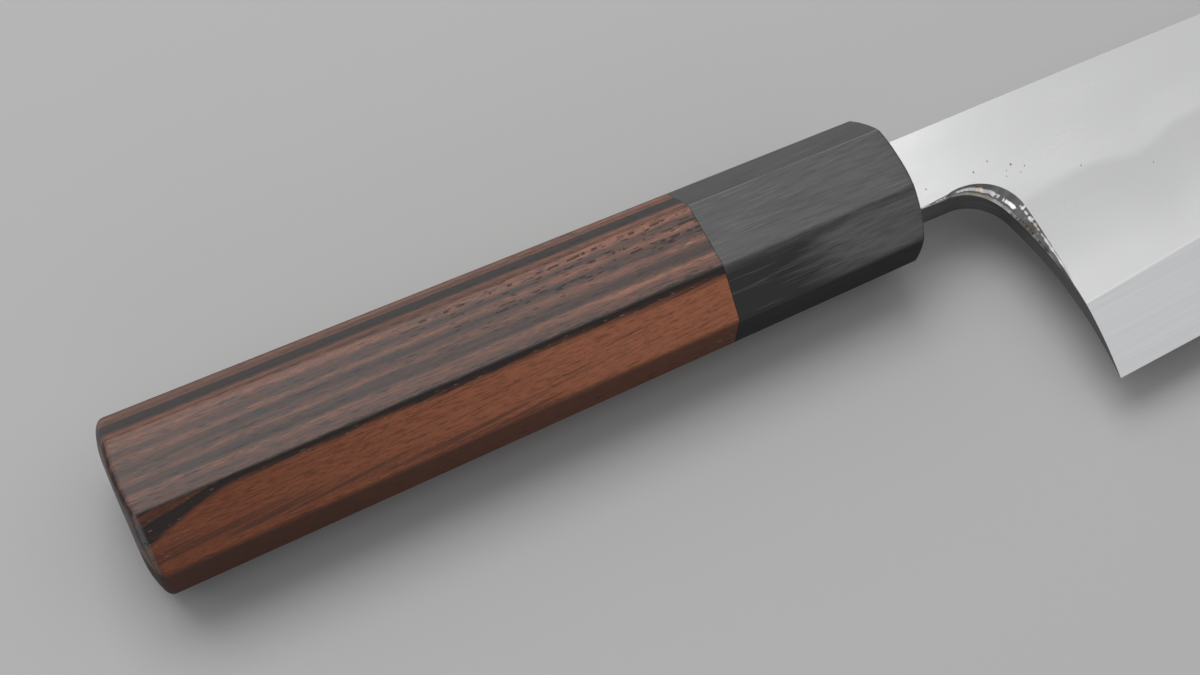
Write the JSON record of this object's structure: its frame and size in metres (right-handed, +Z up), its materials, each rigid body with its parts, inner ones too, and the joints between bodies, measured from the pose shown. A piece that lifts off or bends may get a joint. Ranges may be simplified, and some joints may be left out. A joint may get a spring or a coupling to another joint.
{
  "type": "deba knife",
  "caption": "Heavy single-bevel deba kitchen knife with a deep blade, an octagonal striped rosewood handle and a black horn ferrule, for cutting fish.",
  "frame": {"origin": "bottom centre of the box round the whole knife, on the surface that the handle's lower flat lies on", "axes": "+X along the handle's axis towards the blade's tip, +Y towards the spine, +Z up out of the bevelled face"},
  "size_m": [0.2974, 0.0576, 0.0229],
  "materials": {
    "blade_steel": "polished flats with fine haze, and a bevel with fine scratches along the edge",
    "buffalo_horn": "satin, with fine lengthwise streaks",
    "rosewood": "oiled, open-pored, with dark stripes along the grain",
    "magnolia": "bare",
    "setting_compound": "dull"
  },
  "bodies": {
    "root": {"blade": "blade_steel", "horn_ferrule": "buffalo_horn", "handle_body": "rosewood", "core_dowel": "magnolia", "tang_bedding": "setting_compound"}
  },
  "joints": []
}
